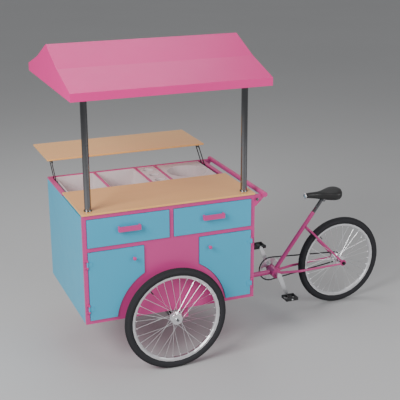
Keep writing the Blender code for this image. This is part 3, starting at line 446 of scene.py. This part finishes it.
def copies(first, places):
    """Copies a piece to each place and turn, each with its own mesh, and joins the copies."""
    made = []
    for place, turn in places:
        twin = first.copy()
        twin.data = first.data.copy()
        bpy.context.scene.collection.objects.link(twin)
        twin.matrix_world = Matrix.Translation(place) @ turn.to_matrix().to_4x4()
        made.append(twin)
    bpy.data.objects.remove(first, do_unlink=True)
    for item in made:
        settle(item)
    return join_all(made) if len(made) > 1 else made[0]


def middle(node):
    low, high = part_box(node)
    return (Vector(low) + Vector(high)) / 2


def outward(turn):
    """The direction in the wheels' plane at an angle from +X towards +Z."""
    return Vector((math.cos(turn), 0, math.sin(turn)))


def on_rim(centre, radius, turn):
    """Place and turn of a piece whose local +Z points at the hub."""
    return centre + outward(turn) * radius, Euler((0, math.pi * 1.5 - turn, 0))


def facing_side(side):
    """Turn that points local +Z along +Y for side 1, and along -Y for side -1."""
    return Euler((side * -QUARTER, 0, 0))


def bolt_head(radius, height):
    """A hexagon bolt head on a washer, standing along local +Z."""
    washer = cylinder(24, radius * 1.5, height * 0.3)
    washer.location.z = height * 0.15
    settle(washer)
    head = cylinder(6, radius, height * 0.8)
    head.location.z = height * 0.6
    settle(head)
    inset_faces(head, facing_up, radius * 0.18, height * 0.1)
    done()
    return join_all([washer, head])


# Operators


class TRICYCLE_OT_finishes(bpy.types.Operator):
    """Gives every CAD part its procedural finish"""
    bl_idname = "tricycle.finishes"
    bl_label = "Finishes"

    def execute(self, context):
        colours = context.scene.tricycle_colours
        made = {
            "pink_paint": paint("trim_paint", colours.trim),
            "blue_paint": paint("body_paint", colours.body, 0.38),
            "roof_pink": paint("roof_paint", colours.roof, 0.5),
            "wood": timber("varnished_wood", colours.wood_light, colours.wood_dark),
            "tub_white": moulded("tub_plastic", TUB_COLOUR),
            "chrome": metal("polished_chrome", CHROME_COLOUR, 0.10),
            "steel": metal("dark_steel", STEEL_COLOUR, 0.28),
            "alloy": metal("satin_alloy", ALLOY_COLOUR, 0.34),
            "tyre_rubber": rubber("tyre_rubber", TYRE_COLOUR),
            "black_plastic": moulded("pedal_plastic", PEDAL_COLOUR, 0.42),
            "saddle_vinyl": vinyl("saddle_vinyl", SADDLE_COLOUR),
        }
        for part in frame["record"]["subparts"]:
            item = frame["nodes"][part["node"]]
            item.data.materials.clear()
            item.data.materials.append(made[part["material_slot"]])
        return {"FINISHED"}


class TRICYCLE_OT_tyres(bpy.types.Operator):
    """Round balloon tyres with a grooved tread"""
    bl_idname = "tricycle.tyres"
    bl_label = "Tyres"

    def execute(self, context):
        sizes = context.scene.tricycle_sizes
        half = sizes.tyre_width / 2
        for node, body in TYRES:
            low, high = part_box(node)
            radius = (high[2] - low[2]) / 2
            centre = middle(node)
            only()
            bpy.ops.mesh.primitive_torus_add(
                major_segments=TYRE_STEPS, minor_segments=SECTION_STEPS,
                major_radius=radius - half, minor_radius=half,
                location=centre, rotation=(QUARTER, 0, 0))
            tyre = bpy.context.object
            settle(tyre)

            def on_crown(spot, normal):
                reach = math.hypot(spot.x - centre.x, spot.z - centre.z)
                return reach > radius - half * CROWN_SHARE

            inset_faces(tyre, on_crown, TREAD_MARGIN, -sizes.groove_depth, use_individual=True)
            done()
            finish(tyre, "tread_" + node, "tyre_rubber", body)
            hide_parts(node)
        return {"FINISHED"}


class TRICYCLE_OT_wheel_fittings(bpy.types.Operator):
    """Spoke nipples, valves and dust caps on the wheels"""
    bl_idname = "tricycle.wheel_fittings"
    bl_label = "Wheel fittings"

    def execute(self, context):
        for node in WHEELS:
            low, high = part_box(node)
            centre = middle(node)
            if node == "rear_wheel":
                centre.y = middle("rear_tyre").y
            rim = (high[2] - low[2]) / 2 - RIM_DEPTH
            nipple = cylinder(8, NIPPLE_RADIUS, NIPPLE_LENGTH)
            inset_faces(nipple, facing_up, NIPPLE_TIP_INSET, NIPPLE_TIP)
            done()
            places = []
            for side in (-1, 1):
                for k in range(SPOKES_A_SIDE):
                    turn = 2 * math.pi * (k + SPOKE_SHIFT * side) / SPOKES_A_SIDE
                    places.append(on_rim(centre, rim - NIPPLE_REACH, turn))
            finish(copies(nipple, places), "nipples_" + node, "satin_alloy", node)
            valve = cylinder(12, VALVE_RADIUS, VALVE_LENGTH)
            inset_faces(valve, facing_up, VALVE_CAP_INSET, 0.0)
            bpy.ops.mesh.extrude_region_move(TRANSFORM_OT_translate={"value": (0, 0, VALVE_CAP)})
            done()
            valve = copies(valve, [on_rim(centre, rim - VALVE_REACH, VALVE_TURN)])
            finish(valve, "valve_" + node, "pedal_plastic", node)
        return {"FINISHED"}


class TRICYCLE_OT_chain(bpy.types.Operator):
    """Chain, link by link, in place of the plain loop"""
    bl_idname = "tricycle.chain"
    bl_label = "Chain"

    def execute(self, context):
        low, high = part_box("chain")
        y = (low[1] + high[1]) / 2
        path = self.loop(low, high)
        lengths = [0.0]
        for a, b in zip(path, path[1:]):
            lengths.append(lengths[-1] + (b - a).length)
        count = 2 * round(lengths[-1] / CHAIN_PITCH / 2)
        only()
        bpy.ops.mesh.primitive_cube_add(size=1)
        plate = bpy.context.object
        plate.scale = LINK_SIZE
        settle(plate)
        edit(plate)
        bpy.ops.mesh.select_all(action="SELECT")
        bpy.ops.mesh.bevel(offset=LINK_BEVEL, segments=1, affect="EDGES")
        choose_faces(plate, lambda centre, normal: abs(normal.z) > FACING)
        bpy.ops.mesh.inset(thickness=LINK_WAIST, depth=-LINK_WAIST)
        done()
        places = []
        step = 0
        for k in range(count):
            want = lengths[-1] * (k + 0.5) / count
            while lengths[step + 1] < want:
                step += 1
            along = path[step + 1] - path[step]
            share = (want - lengths[step]) / (lengths[step + 1] - lengths[step])
            spot = path[step] + along * share
            turn = Euler((0, -math.atan2(along.z, along.x), 0))
            places.append((Vector((spot.x, y, spot.z)), turn))
        chain = finish(copies(plate, places), "chain_links", "dark_steel", "rear_frame")
        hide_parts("chain")
        return {"FINISHED"}

    def loop(self, low, high):
        """Points of the closed pitch line around the chainring and sprocket, from the box."""
        hub = middle("rear_tyre")
        front_x = low[0] + CHAINRING_RADIUS + CHAIN_HALF_HEIGHT
        front = Vector((front_x, 0, (low[2] + high[2]) / 2))
        rear = Vector((hub.x, 0, hub.z))
        span = rear - front
        base = math.atan2(span.z, span.x)
        tilt = math.acos((CHAINRING_RADIUS - SPROCKET_RADIUS) / span.length)
        top, bottom = base + tilt, base - tilt
        path = []
        for centre, radius, start, sweep, steps in (
                (front, CHAINRING_RADIUS, top, bottom + 2 * math.pi - top, CHAINRING_STEPS),
                (rear, SPROCKET_RADIUS, bottom, top - bottom, SPROCKET_STEPS)):
            path += [centre + outward(start + sweep * k / steps) * radius
                     for k in range(steps + 1)]
        path.append(path[0].copy())
        return path


class TRICYCLE_OT_saddle(bpy.types.Operator):
    """Padded saddle, its nose cap and the clamp on the post"""
    bl_idname = "tricycle.saddle"
    bl_label = "Saddle"

    def execute(self, context):
        source = frame["nodes"]["saddle"]
        cushion = bpy.data.objects.new("saddle_cushion", source.data.copy())
        bpy.context.scene.collection.objects.link(cushion)
        edit(cushion)
        bpy.ops.mesh.select_all(action="SELECT")
        bpy.ops.mesh.remove_doubles(threshold=WELD_DISTANCE)
        bpy.ops.mesh.tris_convert_to_quads()
        bpy.ops.mesh.normals_make_consistent(inside=False)
        done()
        smooth = cushion.modifiers.new("rounding", "SUBSURF")
        smooth.levels = ROUNDING_LEVELS
        smooth.render_levels = ROUNDING_LEVELS
        only(cushion)
        bpy.ops.object.modifier_apply(modifier="rounding")
        finish(cushion, "saddle_cushion", "saddle_vinyl", "rear_frame",
               CUSHION_SMOOTH)
        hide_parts("saddle")
        low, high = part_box("saddle")
        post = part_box("seat_post")
        y = (low[1] + high[1]) / 2
        only()
        bpy.ops.mesh.primitive_uv_sphere_add(segments=24, ring_count=12, radius=0.5)
        cap = bpy.context.object
        cap.scale = NOSE_CAP_SIZE
        cap.location = (low[0] + NOSE_CAP_BACK, y, high[2] - NOSE_CAP_DROP)
        finish(cap, "saddle_nose_cap", "satin_alloy", "rear_frame")
        clamp = cylinder(
            20, CLAMP_RADIUS, CLAMP_LENGTH,
            (post[1][0] - CLAMP_BACK, y, post[1][2] - CLAMP_DROP), (QUARTER, 0, 0))
        settle(clamp)
        inset_faces(clamp, lambda centre, normal: abs(normal.y) > FACING, CLAMP_STEP, CLAMP_STEP)
        done()
        finish(clamp, "saddle_clamp", "polished_chrome", "rear_frame")
        return {"FINISHED"}


class TRICYCLE_OT_collars(bpy.types.Operator):
    """Stepped plates at the feet of the canopy posts"""
    bl_idname = "tricycle.collars"
    bl_label = "Post collars"

    def execute(self, context):
        sizes = context.scene.tricycle_sizes
        for node in ("canopy_post_front", "canopy_post_rear"):
            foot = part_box(node)[0][2]
            spot = middle(node)
            collar = cylinder(48, sizes.collar_radius, COLLAR_HEIGHT,
                              (spot.x, spot.y, foot + COLLAR_LIFT))
            settle(collar)
            inset_faces(collar, facing_up, COLLAR_STEP_INSET, COLLAR_STEP)
            done()
            finish(collar, "collar_" + node, "polished_chrome", "cabinet")
        return {"FINISHED"}


class TRICYCLE_OT_bolts(bpy.types.Operator):
    """Nuts on the ends of the front axle and bolts on the push bar's gussets"""
    bl_idname = "tricycle.bolts"
    bl_label = "Bolts"

    def execute(self, context):
        radius = context.scene.tricycle_sizes.bolt_radius
        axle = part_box("front_axle")
        hub = middle("front_tyre_left")
        nuts = []
        for side, end in ((-1, axle[0][1]), (1, axle[1][1])):
            nuts.append((Vector((hub.x, end - side * NUT_SINK, hub.z)), facing_side(side)))
        nut = bolt_head(radius * NUT_SHARE, NUT_HEIGHT)
        finish(copies(nut, nuts), "axle_nuts", "polished_chrome", "cabinet")
        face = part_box("front_frame")[0]
        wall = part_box("end_wall_rear")[1]
        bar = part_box("push_bar")[1]
        places = []
        for side, y in ((-1, face[1] + BOLT_SINK), (1, wall[1])):
            place = Vector((wall[0] + BOLT_FROM_WALL, y, bar[2] - BOLT_DROP))
            places.append((place, facing_side(side)))
        bolt = bolt_head(radius, BOLT_HEIGHT)
        finish(copies(bolt, places), "gusset_bolts", "polished_chrome", "cabinet")
        return {"FINISHED"}


class TRICYCLE_OT_stage(bpy.types.Operator):
    """Floor, soft studio lights, and the camera at the photograph's angle"""
    bl_idname = "tricycle.stage"
    bl_label = "Stage"

    def execute(self, context):
        only()
        bpy.ops.mesh.primitive_plane_add(size=FLOOR_SIZE, location=(0, 0, 0))
        floor = bpy.context.object
        floor.name = "floor"
        made = Finish("floor_grey", 0.75)
        cloud = made.noise(0.4)
        made.colour(made.mix(cloud, FLOOR_DARK, FLOOR_LIGHT))
        floor.data.materials.append(made.material)
        for name, spot, target, size, watts in LIGHTS:
            only()
            bpy.ops.object.light_add(type="AREA", location=spot)
            light = bpy.context.object
            light.name = name
            light.data.energy = watts
            light.data.size = size
            aim = Vector(target) - Vector(spot)
            light.rotation_euler = aim.to_track_quat("-Z", "Y").to_euler()
        world = bpy.data.worlds.new("studio")
        world.use_nodes = True
        sky = world.node_tree.nodes["Background"]
        sky.inputs["Color"].default_value = SKY_COLOUR
        sky.inputs["Strength"].default_value = SKY_STRENGTH
        context.scene.world = world
        self.add_camera(context)
        return {"FINISHED"}

    def add_camera(self, context):
        level = math.cos(PITCH)
        forward = Vector((math.sin(YAW) * level, math.cos(YAW) * level, math.sin(PITCH)))
        right = Vector((math.cos(YAW), -math.sin(YAW), 0))
        up = right.cross(forward)
        side = right * math.cos(ROLL) + up * math.sin(ROLL)
        rise = up * math.cos(ROLL) - right * math.sin(ROLL)
        only()
        bpy.ops.object.camera_add()
        camera = bpy.context.object
        camera.name = "camera"
        camera.data.lens = LENS
        camera.data.sensor_width = SENSOR_WIDTH
        turn = Matrix((side, rise, -forward)).transposed().to_4x4()
        spot = Vector((middle("front_tyre_left").x - CAMERA_LEFT,
                       middle("front_axle").y - CAMERA_BACK, CAMERA_HEIGHT))
        camera.matrix_world = Matrix.Translation(spot) @ turn
        context.scene.camera = camera


class TRICYCLE_PT_panel(bpy.types.Panel):
    """Shows the tricycle's colours, sizes and steps in the sidebar"""
    bl_idname = "TRICYCLE_PT_panel"
    bl_label = "Ice cream tricycle"
    bl_space_type = "VIEW_3D"
    bl_region_type = "UI"
    bl_category = "Tricycle"

    def draw(self, context):
        layout = self.layout
        for group in (context.scene.tricycle_colours, context.scene.tricycle_sizes):
            for key in group.bl_rna.properties.keys():
                if key not in ("rna_type", "name"):
                    layout.prop(group, key)
        for step in STEPS:
            layout.operator(step.bl_idname)


STEPS = (
    TRICYCLE_OT_finishes,
    TRICYCLE_OT_tyres,
    TRICYCLE_OT_wheel_fittings,
    TRICYCLE_OT_chain,
    TRICYCLE_OT_saddle,
    TRICYCLE_OT_collars,
    TRICYCLE_OT_bolts,
    TRICYCLE_OT_stage,
)
CLASSES = (TricycleColours, TricycleSizes, *STEPS, TRICYCLE_PT_panel)


def register():
    for each in CLASSES:
        bpy.utils.register_class(each)
    bpy.types.Scene.tricycle_colours = bpy.props.PointerProperty(type=TricycleColours)
    bpy.types.Scene.tricycle_sizes = bpy.props.PointerProperty(type=TricycleSizes)


def unregister():
    del bpy.types.Scene.tricycle_sizes
    del bpy.types.Scene.tricycle_colours
    for each in reversed(CLASSES):
        bpy.utils.unregister_class(each)


def main():
    register()
    bpy.ops.tricycle.finishes()
    bpy.ops.tricycle.tyres()
    bpy.ops.tricycle.wheel_fittings()
    bpy.ops.tricycle.chain()
    bpy.ops.tricycle.saddle()
    bpy.ops.tricycle.collars()
    bpy.ops.tricycle.bolts()
    bpy.ops.tricycle.stage()


if __name__ == "__main__":
    main()
